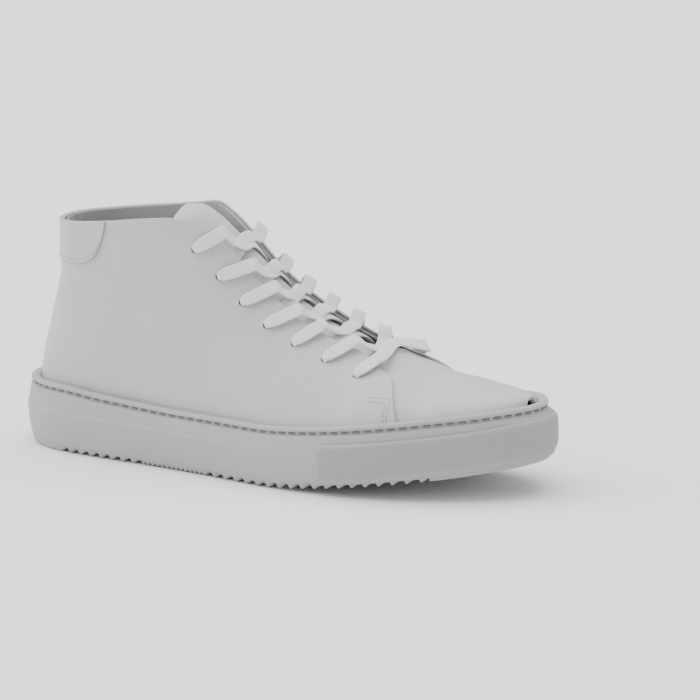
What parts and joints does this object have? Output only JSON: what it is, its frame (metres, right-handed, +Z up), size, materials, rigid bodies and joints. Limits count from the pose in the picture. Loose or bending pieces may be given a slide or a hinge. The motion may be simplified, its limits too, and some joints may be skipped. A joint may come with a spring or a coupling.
{
  "type": "laced high-top shoe",
  "caption": "Plain leather high top for the right foot: rubber cup sole with toe bumper, sewn quarters and vamp, padded tongue and flat laces.",
  "frame": {"origin": "middle of the outline in plan, on the ground that the tread stands on", "axes": "+X from the heel to the toe, +Y towards the medial (inner) side, +Z up"},
  "size_m": [0.3005, 0.1094, 0.1318],
  "materials": {
    "upper_leather": "smooth full-grain leather, off-white, fine grain, low sheen",
    "sole_rubber": "matt moulded rubber, warm off-white",
    "lining_textile": "fine woven textile, mid grey",
    "lace_cotton": "flat woven cotton, white, matt",
    "footbed_textile": "woven top cloth, light grey",
    "thread": "twisted sewing thread, light grey",
    "stiffener": "thermoplastic stiffening sheet",
    "foam": "open-cell polyurethane foam",
    "board": "non-woven insole board",
    "aglet_plastic": "clear-white acetate tube"
  },
  "bodies": {
    "shoe": {"cupsole": "sole_rubber", "sidewall_stitch": "thread", "toe_bumper": "sole_rubber", "midsole_filler": "foam", "strobel_board": "board", "footbed": "footbed_textile", "lateral_quarter": "upper_leather", "medial_quarter": "upper_leather", "lateral_quarter_lining": "lining_textile", "medial_quarter_lining": "lining_textile", "lateral_eyestay_reinforcement": "stiffener", "medial_eyestay_reinforcement": "stiffener", "heel_counter": "stiffener", "heel_tab": "upper_leather", "vamp": "upper_leather", "toe_puff": "stiffener", "vamp_lining": "lining_textile", "lace": "lace_cotton", "lateral_aglet": "aglet_plastic", "medial_aglet": "aglet_plastic"},
    "tongue": {"tongue": "upper_leather", "tongue_padding": "foam", "tongue_lining": "lining_textile"}
  },
  "joints": [
    {"name": "tongue_hinge", "type": "hinge", "parent": "shoe", "child": "tongue", "pos_m": [0.07327, 0, 0.055], "axis": [0, -1, 0], "range_deg": [0, 12], "stiffness_Nm_per_rad": 0.15, "springref_deg": -5.73}
  ]
}
